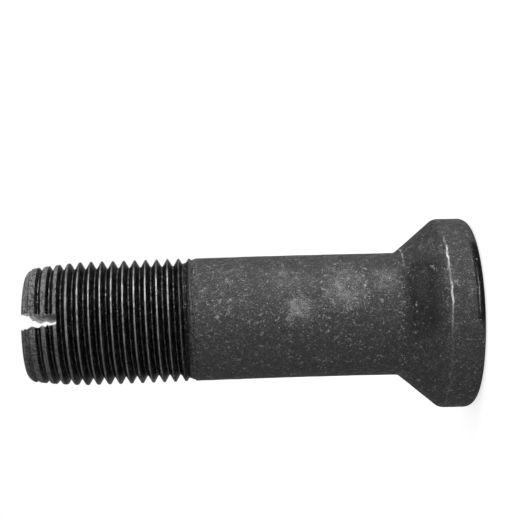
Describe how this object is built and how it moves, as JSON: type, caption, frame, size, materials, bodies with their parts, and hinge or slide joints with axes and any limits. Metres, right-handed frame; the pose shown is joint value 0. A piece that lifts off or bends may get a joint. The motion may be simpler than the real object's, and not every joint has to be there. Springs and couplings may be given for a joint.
{
  "type": "countersunk socket head bolt with slotted end",
  "caption": "Countersunk bolt with a tall rim, a hexagon socket in the flat face, a plain shank, a fine right-hand thread and a screwdriver slot across the thread end.",
  "frame": {"origin": "centre of the flat face of the head, on which the bolt stands", "axes": "+Z along the shank from the head's face to the slotted thread end, Y along the slot"},
  "size_m": [0.0244, 0.0244, 0.0571],
  "materials": {
    "black_steel": "matte black oxide over alloy steel"
  },
  "bodies": {
    "root": {"bolt": "black_steel"}
  },
  "joints": []
}
